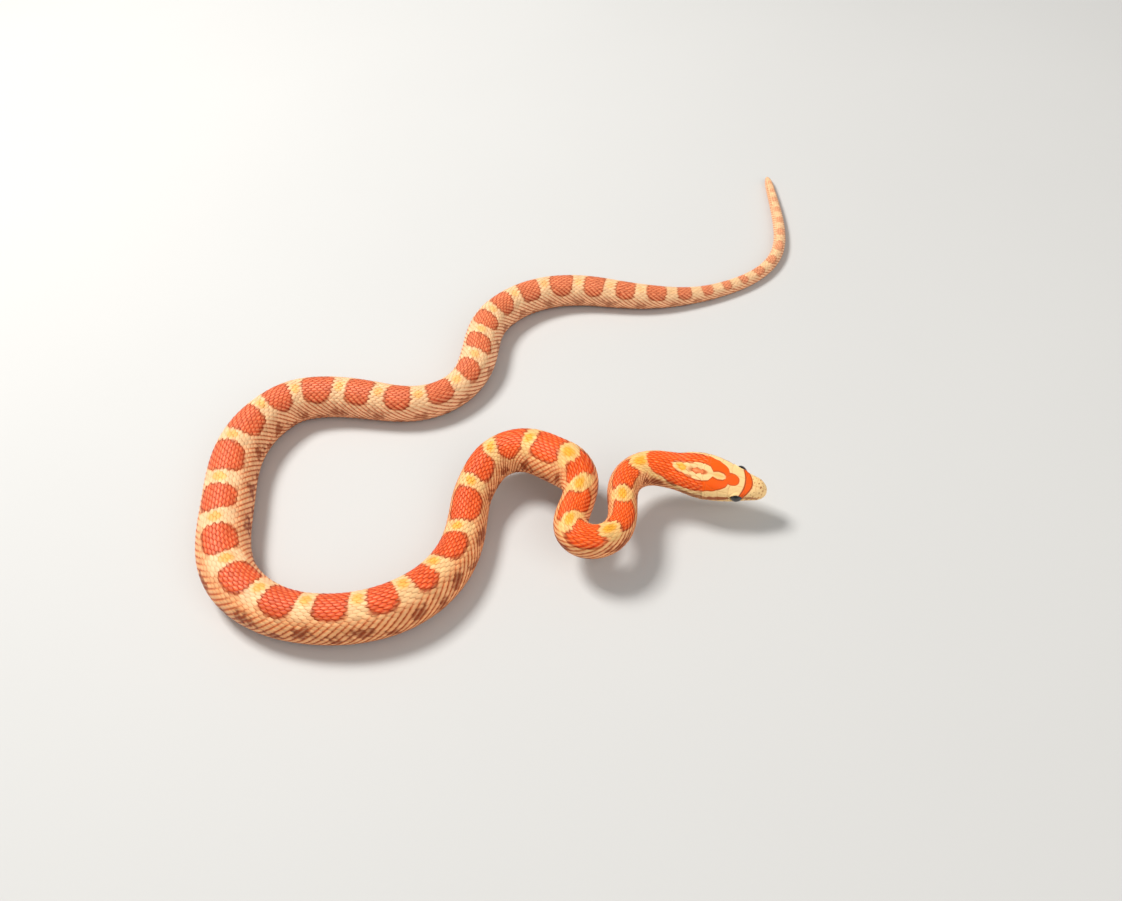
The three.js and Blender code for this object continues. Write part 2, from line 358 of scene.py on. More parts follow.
def section_frame(s):
    """The ways to the right side and to the back at s."""
    heading = heading_at(s)
    reach = 1
    climb = np.where(s > HEAD_LENGTH, (lift_at(s + reach) - lift_at(s - reach)) / (2 * reach), 0)
    tailward = np.stack([np.cos(heading), np.sin(heading), climb], 1)
    tailward /= np.linalg.norm(tailward, axis=1, keepdims=True)
    right = np.stack([-np.sin(heading), np.cos(heading), np.zeros_like(s)], 1)
    back = np.cross(tailward, right)
    start, end = ROLL_ENDS_AT
    roll = np.radians(-HEAD_ROLL * (1 - ease((s - start) / (end - start))))[:, None]
    rolled_right = right * np.cos(roll) + back * np.sin(roll)
    rolled_back = back * np.cos(roll) - right * np.sin(roll)
    return rolled_right, rolled_back


def head_relief(s, angle):
    """Swellings, hollows and the line of the mouth, as a distance out of the plain section."""
    relief = np.zeros_like(s)
    near = s < HEAD_LENGTH + 4
    s, angle = s[near], np.abs(angle[near])
    half_width = along(WIDTHS, s) / 2
    swell = np.zeros_like(s)
    for at, centre, height, reach_along, reach_round in HEAD_FORMS:
        off_round = np.radians(angle - centre) * half_width
        swell += height * np.exp(-(((s - at) / reach_along) ** 2) - (off_round / reach_round) ** 2)
    lips = 1 - ease(np.abs(angle - along(MOUTH_ANGLE, s)) / LIP_HALF_WIDTH)
    start, end = MOUTH_ENDS_AT
    corner = 1 - ease((s - start) / (end - start))
    relief[near] = swell * ease(s / 1.2) - MOUTH_DEPTH * lips * corner
    return relief


def signed_power(x, exponent):
    return np.sign(x) * np.abs(x) ** exponent


def surface(s, angle, out=0.0):
    """Points of the body's surface, moved out of it by out."""
    s, angle, out = np.broadcast_arrays(np.asarray(s, float), np.asarray(angle, float), out)
    inside = np.clip(s, 0, BODY_LENGTH)
    right, back = section_frame(inside)
    tip = end_round(inside)
    half_width = along(WIDTHS, inside) / 2 * tip
    bend = 2 / along(SQUARENESS, inside)
    across = signed_power(np.sin(np.radians(angle)), bend)
    upward = signed_power(np.cos(np.radians(angle)), bend)
    rise = half_width * along(CROWN_RISE, inside)
    drop = half_width * along(BELLY_DROP, inside)
    x = half_width * across
    z = np.where(upward > 0, rise * upward, np.maximum(drop * upward, -drop * BELLY_FLAT))
    slant = np.hypot(across, upward)
    reach = (head_relief(inside, angle) + out) * np.minimum(1, tip / 0.3)
    x = x + reach * across / slant
    z = z + reach * upward / slant
    return midline(inside) + right * x[:, None] + back * z[:, None]


def turned_to_mouth(column, s):
    """Turns the columns of the skin so that one of them follows the mouth."""
    mouth = along(MOUTH_ANGLE, s)
    size = np.abs(column)
    front = size * mouth / MOUTH_COLUMN
    under = 180 - (180 - size) * (180 - mouth) / (180 - MOUTH_COLUMN)
    return np.sign(column) * np.where(size < MOUTH_COLUMN, front, under)


def coat_depth(s, sizes):
    """How deep the skin lies under the tips of the scales."""
    return np.clip(along(WIDTHS, s) * sizes.coat_share, THINNEST_COAT, sizes.coat_depth)


def coat_start(angle):
    """The s from which scales cover the body at an angle."""
    angles, starts = np.array(COAT_STARTS, float).T
    return np.interp(np.abs(angle), angles, starts)


def coat_cover(s, angle):
    """0 on the plates of the head, 1 where the scales cover the skin."""
    return ease((s - coat_start(angle)) / COAT_FADE)


def on_bake_sheet(s, angle):
    """The place of a point of the body on one flat sheet: the head on top, the lengths under it."""
    margin, used = 0.02, 0.96
    row_margin, row_used = 0.03, 0.94
    round_share = (angle + 180) / 360
    stretch = (BODY_LENGTH - HEAD_LENGTH) / BAKE_LENGTHS
    k = np.clip(np.floor((s - HEAD_LENGTH) / stretch), 0, BAKE_LENGTHS - 1)
    row = (1 - BAKE_HEAD_SHARE) / BAKE_LENGTHS
    u_body = margin + used * (s - HEAD_LENGTH - k * stretch) / stretch
    v_body = row * (k + row_margin + row_used * round_share)
    u_head = margin + used * round_share
    v_head = 1 - BAKE_HEAD_SHARE * (row_margin + row_used * s / HEAD_LENGTH)
    on_head = s < HEAD_LENGTH
    return np.where(on_head, u_head, u_body), np.where(on_head, v_head, v_body)


# The seams of the head's plates


def head_seams():
    """All the seams as lines of (s, angle) on the right side."""
    seams = [np.array(line, float) for line in MIDDLE_SEAMS + SIDE_SEAMS]
    for at in LIP_SEAMS_AT:
        mouth = along(MOUTH_ANGLE, np.array([at]))[0]
        seams.append(np.array([(at, mouth - 1), (at - 0.1, mouth - 14)]))
    for at in CHIN_SEAMS_AT:
        mouth = along(MOUTH_ANGLE, np.array([at]))[0]
        seams.append(np.array([(at, mouth + 1), (at + 0.15, 129)]))
    return seams


def distance_to_seams(s, angle):
    """The distance in mm from each point to the nearest seam."""
    size = np.abs(angle)
    mm_per_degree = np.radians(1) * (along(WIDTHS, s) / 2 * end_round(s))
    nearest = np.full(s.shape, float(HEAD_LENGTH))
    for line in head_seams():
        for (s0, a0), (s1, a1) in zip(line[:-1], line[1:]):
            ds, da = s1 - s0, (a1 - a0) * mm_per_degree
            px, py = s - s0, (size - a0) * mm_per_degree
            t = np.clip((px * ds + py * da) / (ds * ds + da * da + 1e-9), 0, 1)
            nearest = np.minimum(nearest, np.hypot(px - t * ds, py - t * da))
    return nearest


def eye_axis(side):
    """The middle of the eyeball and the way that it looks."""
    s, angle = np.array([EYE_AT]), np.array([side * EYE_ANGLE], float)
    centre = surface(s, angle, EYE_PROUD - EYE_RADIUS)[0]
    outward = surface(s, angle, 1.0)[0] - surface(s, angle, 0.0)[0]
    return centre, outward / np.linalg.norm(outward)


def off_eye_axis(points, side):
    """The distance of each point from the line along which an eye looks."""
    centre, outward = eye_axis(side)
    offset = points - centre
    return np.linalg.norm(offset - np.outer(offset @ outward, outward), axis=1)


def nostril_hole(points, side):
    """1 in a nostril, 0 out of it."""
    nostril = surface(np.array([NOSTRIL_AT]), np.array([side * NOSTRIL_ANGLE], float))[0]
    off_nostril = np.linalg.norm(points - nostril, axis=1)
    return 1 - ease((off_nostril - 0.1) / (NOSTRIL_RADIUS - 0.06))


def plate_relief(s, angle):
    """Seams, the ring of scales round each eye and the nostrils, and how dark each seam is, with painted
    shade in the nostrils.
    """
    points = surface(s, angle)
    seam = np.exp(-((distance_to_seams(s, angle) / SEAM_HALF_WIDTH) ** 2))
    out = -SEAM_DEPTH * seam
    for side in (-1, 1):
        near = np.sign(angle) * side > 0
        off_axis = off_eye_axis(points, side)
        past_edge = off_axis - EYE_OPENING
        pit = EYE_PIT * (1 - ease((past_edge + 0.12) / 0.3))
        ring = EYE_RING * np.exp(-(((past_edge - 0.28) / 0.16) ** 2))
        ring_seam = np.exp(-(((past_edge - 0.5) / SEAM_HALF_WIDTH) ** 2))
        round_eye = out * ease((off_axis - 1.05) / 0.3) - pit + ring
        out = np.where(near & (off_axis < 1.5), round_eye, out)
        out = np.where(near, out - SEAM_DEPTH * ring_seam, out)
        cleared = np.maximum(seam * (off_axis > 1.2), ring_seam)
        seam = np.where(near & (off_axis < 1.4), cleared, seam)
        hole = nostril_hole(points, side)
        out = out - NOSTRIL_DEPTH * hole
        # Painted shade: each nostril hollow is darkened with the seam colour
        seam = np.maximum(seam, 1.6 * hole)
    return out, seam


# The markings


def band_phase(s):
    """Counts the pale bands: whole numbers in their middles, halves in the middles of the saddles."""
    count = np.arange(len(PALE_BANDS))
    phase = np.interp(s, PALE_BANDS, count)
    spacing = np.interp(s, (PALE_BANDS[:-1] + np.array(PALE_BANDS[1:])) / 2, np.diff(PALE_BANDS))
    return phase, spacing


def waves(s, angle, seed):
    """A smooth uneven value about 0, the same for the same place."""
    random = np.random.default_rng(seed)
    total = np.zeros(np.shape(s))
    for _ in range(6):
        along_wave, round_wave = random.uniform(0.5, 1.7), random.uniform(0.03, 0.10)
        turn, way = random.uniform(0, 2 * np.pi), random.choice([-1, 1])
        total += np.sin(along_wave * s + way * round_wave * angle + turn)
    return total / 6


def soft_below(x, edge, soft):
    """1 where x is below edge, 0 above it."""
    return 1 - ease((x - edge) / soft + 0.5)


def oval(s, angle, middle, reach):
    """The distance from the middle of an oval mark, 1 at its edge: middle and reach are (s, angle)."""
    return np.hypot((s - middle[0]) / reach[0], (angle - middle[1]) / reach[1])


def body_markings(s, angle):
    """How much of each marking lies at a place of the neck, torso and tail."""
    size = np.abs(angle)
    phase, spacing = band_phase(s - along(MARKS_LEAN, s) * np.clip(angle, -60, 60))
    off_band = np.abs(phase - np.round(phase)) * spacing
    off_saddle = spacing / 2 - off_band

    pinch = along(BAND_PINCH, s) * ease((size - 8) / 32)
    band_half = along(BAND_HALF, s) * (1 - pinch)
    reach = along(SADDLE_REACH, s) + 4 * waves(np.floor(phase) * 7.7, angle * 0, 3)
    saddle_half = np.maximum(spacing / 2 - band_half, 0.4)
    squareness = 2.7
    ring = (off_saddle / saddle_half) ** squareness + (size / reach) ** squareness
    ring = ring ** (1 / squareness) + 0.06 * waves(s * 1.6, angle, 11)
    saddle = soft_below(ring, 1.02, 0.08) * along(SADDLE_SHARE, s)
    rim = saddle * (1 - soft_below(ring, 0.93, 0.14))

    band = soft_below(size, reach + 3, 22) * soft_below(off_band, band_half + 0.25, 0.7)
    band = band * (1 - 0.45 * ease((size - 38) / 20))
    halo = 0.35 * soft_below(ring, 1.18, 0.16) * soft_below(size, reach + 12, 12)
    gold_ring = oval(off_band, size, (0, 0), (along(BAND_HALF, s) * 0.62, 16))
    gold = soft_below(gold_ring, 1.0, 0.75) * along(GOLD_SHARE, s)

    upper = oval(off_band, size, (0, 84), (spacing * 0.22, 17)) + waves(s * 2.9, angle * 2.4, 5)
    lower = oval(off_saddle, size, (0, 104), (spacing * 0.15, 14))
    lower = lower + 1.1 * waves(s * 3.1, angle * 2.3, 9)
    strength = soft_below(s, 342, 16) * np.interp(s, (0, 200, 260, 400), (1, 1, 0.75, 0.7))
    blotch = np.maximum(soft_below(upper, 0.85, 0.25), soft_below(lower, 0.80, 0.25)) * strength
    pale = np.maximum(band, halo)
    return {"saddle": saddle, "rim": rim, "pale": pale, "gold": gold, "blotch": blotch}


def snout_bar(s, size):
    """The bar across the snout in front of the eyes, and its dark edge."""
    middle = 3.35 + 0.6 * (size / 40) ** 1.6
    half = 0.78 - 0.14 * np.minimum(size / 50, 1)
    off_middle = np.abs(s - middle)
    bar = soft_below(off_middle, half, 0.22) * soft_below(size, 74, 14)
    middle_line = 0.4 * np.exp(-((off_middle / 0.12) ** 2)) * ease((size - 25) / 20)
    return bar, bar * np.maximum(1 - soft_below(off_middle, half - 0.24, 0.2), middle_line)


def head_field(s, angle):
    """The orange field over the back of the head and the nape, and its dark edge."""
    size = np.abs(angle)
    soft = 13 / np.maximum(along(WIDTHS, s) / 2, 0.5)
    uneven = size + 1.5 * waves(s * 2.5, angle, 21)
    inner = np.interp(s, *np.array(FIELD_INNER, float).T)
    outer = np.interp(s, *np.array(FIELD_OUTER, float).T)
    outward = soft_below(uneven, outer, soft)
    inward = np.where(inner > 0.5, 1 - soft_below(size, inner, soft * 0.8), 1)
    on_field = soft_below(7.05 - s, 0, 0.4) * soft_below(s, 23.55, 0.5)
    field = outward * inward * on_field
    outer_edge = 1 - soft_below(uneven, outer - 3, 5)
    inner_edge = (inner > 2) * soft_below(size, inner + 3, 4)
    return field, field * np.maximum(outer_edge, inner_edge)


def head_blotches(s, angle, bar):
    """The dark marks behind the eyes, on the cheeks, the lips, the snout and the side of the neck."""
    size = np.abs(angle)
    behind_eye = oval(s, size - 2 * (s - 8), (8.8, 75), (2.6, 12)) + 0.25 * waves(s * 3, angle, 8)
    stripe = oval(s, size, (12.8, 82), (4.2, 11)) + 0.3 * waves(s * 3, angle, 12)
    nape = oval(s, size, (17.9, 62), (1.1, 10)) + 0.2 * waves(s * 3, angle, 14)
    neck = oval(s, size, (21.8, 82), (2.6, 15)) + 0.4 * waves(s * 2, angle, 15)
    cheek = oval(s, size, (3.0, 76), (1.9, 14)) + 0.6 * waves(s * 4.4, angle * 2, 16)
    specks = soft_below(-waves(s * 5.5, angle * 2.6, 18), -0.44, 0.12)
    mouth = along(MOUTH_ANGLE, s)
    on_lip = soft_below(size, mouth - 1, 3) * (1 - soft_below(size, mouth - 18, 6))
    lip_bars = sum(np.exp(-(((s - at) / 0.17) ** 2)) for at in LIP_SEAMS_AT)
    return np.maximum.reduce([
        0.8 * np.minimum(lip_bars * on_lip, 1),
        soft_below(behind_eye, 1, 0.4),
        0.85 * soft_below(stripe, 1, 0.6),
        soft_below(nape, 1, 0.4),
        0.9 * soft_below(neck, 0.95, 0.4),
        0.8 * soft_below(cheek, 0.8, 0.4),
        0.8 * specks * soft_below(s, 3.0, 1.0) * (1 - bar),
    ])


def head_markings(s, angle):
    """How much of each marking lies at a place of the head and nape."""
    size = np.abs(angle)
    bar, bar_rim = snout_bar(s, size)
    field, field_rim = head_field(s, angle)
    patch_ring = oval(s, size, (6.45, 0), (1.3, 15))
    patch = soft_below(patch_ring, 1, 0.16)
    patch_rim = patch * (1 - soft_below(patch_ring, 0.86, 0.12)) * soft_below(s, 7.2, 0.4)
    island_ring = oval(s, size, (13.1, 0), (1.75, 4.2))
    island = soft_below(island_ring, 1, 0.4)
    saddle = np.maximum.reduce([bar, patch, field, 0.75 * island])
    rim = np.maximum.reduce([
        bar_rim,
        0.6 * patch_rim,
        0.8 * field_rim,
        0.6 * island * (island_ring > 0.6),
    ])
    nape_gold = soft_below(oval(s, size, (16.4, 0), (1.1, 8)), 1, 0.8)
    crown_gold = 0.35 * soft_below(oval(s, size, (9.1, 0), (0.9, 4)), 1, 0.8)
    gold = np.maximum(nape_gold, crown_gold)
    pale = soft_below(size, np.interp(s, (0, 12, 17, 20, 24), (180, 100, 84, 66, 60)), 20)
    blotch = head_blotches(s, angle, bar) * (1 - saddle)
    return {"saddle": saddle, "rim": rim, "pale": pale, "gold": gold, "blotch": blotch}


def belly_checks(s, angle):
    """Orange checks of the underside on either side of its middle, each about two scutes long."""
    check_length, share_left_plain = 3.1, 0.52
    cell = np.floor(s / check_length)
    draw = np.sin(cell * 12.9898 + np.sign(angle) * 78.233) * 43758.5453
    chance = draw - np.floor(draw)
    inside = soft_below(np.abs(np.abs(angle) - 157), 13, 5)
    return inside * (chance > share_left_plain) * ease((s - 24) / 12) * soft_below(s, 350, 20)


def markings(s, angle):
    """All the markings at a place, each from 0 to 1."""
    on_head = soft_below(s, 23.9, 0.5)
    turned = (angle - along(MARKS_TURN, s) + 180) % 360 - 180
    head, body = head_markings(s, turned), body_markings(s, turned)
    marks = {name: on_head * head[name] + (1 - on_head) * body[name] for name in head}
    size = np.abs(angle)
    belly_edge = np.interp(s, (0, 12, 20, 400), (116, 118, 128, 131))
    marks["belly"] = 1 - soft_below(size, belly_edge, 8)
    marks["check"] = belly_checks(s, angle)
    marks["along"] = s / BODY_LENGTH
    return marks


# Meshes


def deselect_all():
    """Leaves nothing selected or active."""
    for item in bpy.context.view_layer.objects:
        item.select_set(False)
    bpy.context.view_layer.objects.active = None


def vertex_places(mesh):
    places = np.empty(len(mesh.vertices) * 3)
    mesh.vertices.foreach_get("co", places)
    return places.reshape(-1, 3)


def move_vertices(mesh, places):
    mesh.vertices.foreach_set("co", np.asarray(places, np.float32).ravel())
    mesh.update()


def add_attribute(mesh, name, values):
    attribute = mesh.attributes.new(name, "FLOAT", "POINT")
    attribute.data.foreach_set("value", np.asarray(values, np.float32))


def read_attribute(mesh, name):
    values = np.empty(len(mesh.vertices), np.float32)
    mesh.attributes[name].data.foreach_get("value", values)
    return values.astype(float)


def add_marks(mesh, s, angle):
    for name, values in markings(s, angle).items():
        add_attribute(mesh, name, values)


def loop_vertices(mesh):
    indices = np.empty(len(mesh.loops), np.int32)
    mesh.loops.foreach_get("vertex_index", indices)
    return indices


def add_uv_map(mesh, name, u, v):
    """A UV map from a value for each corner."""
    layer = mesh.uv_layers.new(name=name)
    layer.data.foreach_set("uv", np.column_stack([u, v]).astype(np.float32).ravel())


def finish_piece(piece, material, replaced=()):
    """Gives a piece its material and smooth shading, hangs it on the root body and hides the solids that
    it replaces.
    """
    piece.data.materials.clear()
    piece.data.materials.append(material)
    piece.data.polygons.foreach_set("use_smooth", [True] * len(piece.data.polygons))
    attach(piece, "root")
    if replaced:
        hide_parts(*replaced)


def face_outwards():
    """Points all the faces of the mesh in edit mode outwards, and leaves edit mode."""
    bpy.ops.mesh.select_all(action="SELECT")
    bpy.ops.mesh.normals_make_consistent(inside=False)
    bpy.ops.object.mode_set(mode="OBJECT")


def add_sleeve(name, rings, columns):
    """A grid rolled round the body, with a ring at each s of rings and that many columns."""
    deselect_all()
    bpy.ops.mesh.primitive_grid_add(x_subdivisions=len(rings) - 1, y_subdivisions=columns, size=1)
    sleeve = bpy.context.object
    sleeve.name = name
    flat = vertex_places(sleeve.data) + 0.5
    ring = np.rint(flat[:, 0] * (len(rings) - 1)).astype(int)
    column = np.rint(flat[:, 1] * columns) * 360 / columns - 180
    s = rings[ring]
    angle = turned_to_mouth(column, s)
    add_attribute(sleeve.data, "s", s)
    add_attribute(sleeve.data, "angle", angle)
    while sleeve.data.uv_layers:
        sleeve.data.uv_layers.remove(sleeve.data.uv_layers[0])
    return sleeve, s, angle


def close_sleeve(sleeve):
    """Joins the two long edges of a sleeve, and closes its pole."""
    bpy.ops.object.mode_set(mode="EDIT")
    bpy.ops.mesh.select_all(action="SELECT")
    bpy.ops.mesh.remove_doubles(threshold=MERGE_WITHIN)
    bpy.ops.object.mode_set(mode="OBJECT")


def corner_places(mesh):
    """The s and angle of each corner of each face, with no jump at the seam under the belly."""
    owners = loop_vertices(mesh)
    s = read_attribute(mesh, "s")[owners]
    angle = read_attribute(mesh, "angle")[owners]
    starts = np.empty(len(mesh.polygons), np.int32)
    totals = np.empty(len(mesh.polygons), np.int32)
    mesh.polygons.foreach_get("loop_start", starts)
    mesh.polygons.foreach_get("loop_total", totals)
    order = np.argsort(starts)
    face = np.repeat(order, totals[order])
    at_seam = np.abs(np.abs(angle) - 180) < 0.01
    at_pole = (s < 0.001) | (s > BODY_LENGTH - 0.001)
    side = np.bincount(face, np.where(at_seam | at_pole, 0, np.sign(angle)))
    angle = np.where(at_seam, 180 * np.where(side[face] < 0, -1, 1), angle)
    total = np.bincount(face, np.where(at_pole, 0, angle))
    count = np.bincount(face, ~at_pole)
    mean = total / np.maximum(count, 1)
    return s, np.where(at_pole, mean[face], angle)


def skin_depth(s, angle, sizes):
    """How deep the skin lies: hardly at all under the plates, by the coat's depth under scales."""
    return PLATE_DEPTH + coat_cover(s, angle) * (coat_depth(s, sizes) - PLATE_DEPTH)


def build_skin(sizes):
    """One closed skin: a fine sleeve for the head, a coarser one for the rest, bridged into one."""
    head_rings = np.concatenate([NOSE_RINGS, np.linspace(0.6, SKIN_JOIN_AT, sizes.head_rings)])
    body_rings = np.linspace(SKIN_JOIN_AT + 0.3, BODY_LENGTH - 4.6, BODY_RINGS)
    body_rings = np.concatenate([body_rings, BODY_LENGTH - np.array(TAIL_TIP_RINGS)])
    head, s, angle = add_sleeve("skin", head_rings, HEAD_COLUMNS)
    out, seam = plate_relief(s, angle)
    bare = 1 - coat_cover(s, angle)
    move_vertices(head.data, surface(s, angle, out * bare - skin_depth(s, angle, sizes)) * MM)
    add_attribute(head.data, "seam", seam * bare)
    close_sleeve(head)
    body, s, angle = add_sleeve("skin_body", body_rings, BODY_COLUMNS)
    move_vertices(body.data, surface(s, angle, -skin_depth(s, angle, sizes)) * MM)
    add_attribute(body.data, "seam", s * 0)
    close_sleeve(body)
    deselect_all()
    body.select_set(True)
    head.select_set(True)
    bpy.context.view_layer.objects.active = head
    bpy.ops.object.join()
    bpy.ops.object.mode_set(mode="EDIT")
    bpy.ops.mesh.select_mode(type="EDGE")
    bpy.ops.mesh.select_all(action="DESELECT")
    bpy.ops.mesh.select_non_manifold()
    bpy.ops.mesh.bridge_edge_loops()
    face_outwards()
    mesh = head.data
    s, angle = read_attribute(mesh, "s"), read_attribute(mesh, "angle")
    add_marks(mesh, s, angle)
    add_attribute(mesh, "cover", coat_cover(s, angle))
    add_uv_map(mesh, "OFBake", *on_bake_sheet(*corner_places(mesh)))
    return head


def taken_as_template(piece):
    """The vertices and faces of a piece, which is then removed."""
    shape = vertex_places(piece.data)
    faces = [tuple(face.vertices) for face in piece.data.polygons]
    bpy.data.objects.remove(piece)
    return shape, faces


def model_scale():
    """One scale, its root at 0 and its tip at 1 along y, 1 to each side across, and 1 thick."""
    deselect_all()
    right = SCALE_OUTLINE[1:]
    left = [(-x, y) for x, y in right]
    outline = [SCALE_OUTLINE[0], *left, (0.0, 0.0), *right[::-1]]
    bpy.ops.mesh.primitive_circle_add(vertices=len(outline), radius=1, fill_type="NGON")
    scale = bpy.context.object
    places = vertex_places(scale.data)
    leftwards = np.argsort(-np.arctan2(places[:, 0], places[:, 1]) % (2 * np.pi))
    for index, (x, y) in zip(leftwards, outline):
        places[index] = (x, y, 0)
    move_vertices(scale.data, places)
    bpy.ops.object.mode_set(mode="EDIT")
    bpy.ops.mesh.select_mode(type="FACE")
    bpy.ops.mesh.select_all(action="SELECT")
    bpy.ops.mesh.extrude_region_move(TRANSFORM_OT_translate={"value": (0, 0, 0.35)})
    bpy.ops.mesh.inset(thickness=0.15, depth=0.40)
    bpy.ops.mesh.poke(offset=0.25)
    face_outwards()
    return taken_as_template(scale)


def scale_pitch(s):
    """The distance from one scale to the next in its row."""
    return 0.85 + 0.065 * along(WIDTHS, s)


def rank_places(start, end):
    """The s of each rank of scales, with the half ranks between them."""
    step = 0.05
    fine = np.arange(start, end, step)
    ranks = np.cumsum(step / scale_pitch(fine))
    halves = np.arange(0, np.floor(ranks[-1] * 2))
    return np.interp(halves / 2, ranks, fine)


def scale_places(sizes):
    """The s, angle, row spacing and row number of every scale of the back, sides and throat."""
    found = []
    starts, counts = np.array([(0, sizes.scale_rows), *FEWER_ROWS]).T
    for number, s in enumerate(rank_places(6.4, BODY_LENGTH - 0.4)):
        rows = counts[np.searchsorted(starts, s, side="right") - 1]
        step = 2 * BACK_EDGE / rows
        reach = rows // 2 if s >= THROAT_ENDS_AT else int(180 / step)
        for row in range(-reach, reach + 1):
            if (row + number) % 2 == 0:
                found.append((s, row * step, step, abs(row)))
    s, angle, step, row = np.array(found).T
    covered = s > coat_start(angle) + 0.35
    return s[covered], angle[covered], step[covered], row[covered]


def joined_mesh(name, shape_count, faces, places):
    """One mesh of many copies of a shape: places holds the vertices of each copy in turn."""
    copies = len(places) // shape_count
    sizes = np.array([len(face) for face in faces])
    corners = np.concatenate([np.array(face) for face in faces])
    shift = np.repeat(np.arange(copies) * shape_count, len(corners))
    loops = np.tile(corners, copies) + shift
    totals = np.tile(sizes, copies)
    mesh = bpy.data.meshes.new(name)
    mesh.vertices.add(len(places))
    mesh.loops.add(len(loops))
    mesh.polygons.add(len(totals))
    mesh.vertices.foreach_set("co", (places * MM).astype(np.float32).ravel())
    mesh.loops.foreach_set("vertex_index", loops.astype(np.int32))
    mesh.polygons.foreach_set("loop_start", (np.cumsum(totals) - totals).astype(np.int32))
    mesh.update(calc_edges=True)
    piece = bpy.data.objects.new(name, mesh)
    bpy.context.scene.collection.objects.link(piece)
    return piece


def add_copy_attributes(mesh, shape, tint, root_s, root_angle):
    """Gives each copy of a scale its tint, its own grain and its patch of the bake sheet."""
    add_attribute(mesh, "tint", np.repeat(np.clip(tint, 0, 1), len(shape)))
    copy, corner = np.divmod(loop_vertices(mesh), len(shape))
    across, forward = shape[corner, 0], shape[corner, 1]
    add_uv_map(mesh, "Grain", across * 0.5 + 0.5, forward)
    u, v = on_bake_sheet(root_s, root_angle)
    add_uv_map(mesh, "OFBake", u[copy] + BAKE_PATCH * across / 2, v[copy] + BAKE_PATCH * (forward - 0.5))


def lay_scales(name, template, chosen, sizes, random):
    """A stretch of the coat: each scale bent to the body, its root sunk and its tip raised."""
    shape, faces = template
    s, angle, step, row = (values[:, None] for values in chosen)
    across, forward, height = shape.T[:, None, :]
    longer, wider, higher = np.moveaxis(random.normal(0, 1, (len(s), 3, 1)), 1, 0)
    length = scale_pitch(s) * sizes.scale_overlap * (1 + 0.03 * longer)
    root = s - length * 0.56
    at_s = root + forward * length
    at_angle = angle + across * step * sizes.scale_width * (1 + 0.02 * wider)
    depth = coat_depth(s, sizes)
    base = -1.1 + forward * 0.65
    keel = np.exp(-((across / 0.14) ** 2)) * 0.08 * (row < 11) * (height > 0.5)
    out = depth * (base + height * 0.50 + keel + 0.03 * higher)
    places = surface(at_s.ravel(), at_angle.ravel(), np.minimum(out, -0.004).ravel())
    places[:, 2] = np.maximum(places[:, 2], 0.004)
    piece = joined_mesh(name, len(shape), faces, places)
    hold = 0.6
    seen_s = s + (at_s - s) * hold
    seen_angle = angle + (at_angle - angle) * hold
    add_marks(piece.data, seen_s.ravel(), seen_angle.ravel())
    # lean: how far a scale's lines of painted shade and its painted highlight slant, growing down the
    # flanks
    lean = np.sign(angle[:, 0]) * np.clip((np.abs(angle[:, 0]) - 30) / 25, 0, 1)
    add_attribute(piece.data, "lean", np.repeat(lean, len(shape)))
    tint = 0.5 + 0.2 * random.normal(0, 1, len(s))
    add_copy_attributes(piece.data, shape, tint, root[:, 0], angle[:, 0])
    return piece


def model_scute():
    """One belly scute, 1 to each side across, its front edge at 0 and its free edge at 1."""
    deselect_all()
    bpy.ops.mesh.primitive_grid_add(x_subdivisions=10, y_subdivisions=2, size=2)
    scute = bpy.context.object
    places = vertex_places(scute.data)
    end = np.clip((np.abs(places[:, 0]) - 0.84) / 0.16, 0, 1)
    places[:, 1] = 0.5 + places[:, 1] / 2 * (1 - 0.55 * end**2)
    move_vertices(scute.data, places)
    bpy.ops.object.mode_set(mode="EDIT")
    bpy.ops.mesh.select_mode(type="FACE")
    bpy.ops.mesh.select_all(action="SELECT")
    bpy.ops.mesh.extrude_region_move(TRANSFORM_OT_translate={"value": (0, 0, 1)})
    face_outwards()
    return taken_as_template(scute)


def lay_scutes(name, template, chosen, half, sizes, random):
    """A row of scutes across the underside, the free edge of each over the front of the next."""
    shape, faces = template
    s, centre = (values[:, None] for values in chosen)
    across, forward, height = shape.T[:, None, :]
    length = scale_pitch(s) * 1.45
    at_s = s - length / 2 + forward * length
    at_angle = (centre + across * half + 180) % 360 - 180
    out = coat_depth(s, sizes) * (-1.15 + forward * 0.75 + 0.38 * height)
    places = surface(at_s.ravel(), at_angle.ravel(), np.minimum(out, -0.004).ravel())
    places[:, 2] = np.maximum(places[:, 2], 0.002)
    piece = joined_mesh(name, len(shape), faces, places)
    seen_s = s + (at_s - s) * 0.2
    add_marks(piece.data, seen_s.ravel(), at_angle.ravel())
    tint = 0.5 + 0.15 * random.normal(0, 1, len(s))
    add_copy_attributes(piece.data, shape, tint, s[:, 0], (centre[:, 0] + 180) % 360 - 180)
    return piece


# Materials


class Value:
    """A socket that carries a number, so that shader maths reads as Python."""

    def __init__(self, bench, socket):
        self.bench = bench
        self.socket = socket

    def _math(self, operation, first, second=0.0, clamp=False):
        settings = {"operation": operation, "use_clamp": clamp}
        return self.bench.value("ShaderNodeMath", settings, {0: first, 1: second})

    def __add__(self, other):
        return self._math("ADD", self, other)

    def __sub__(self, other):
        return self._math("SUBTRACT", self, other)

    def __rsub__(self, other):
        return self._math("SUBTRACT", other, self)

    def __mul__(self, other):
        return self._math("MULTIPLY", self, other)

    __radd__ = __add__
    __rmul__ = __mul__

    def __abs__(self):
        return self._math("ABSOLUTE", self)

    def clamped(self):
        return self._math("ADD", self, clamp=True)


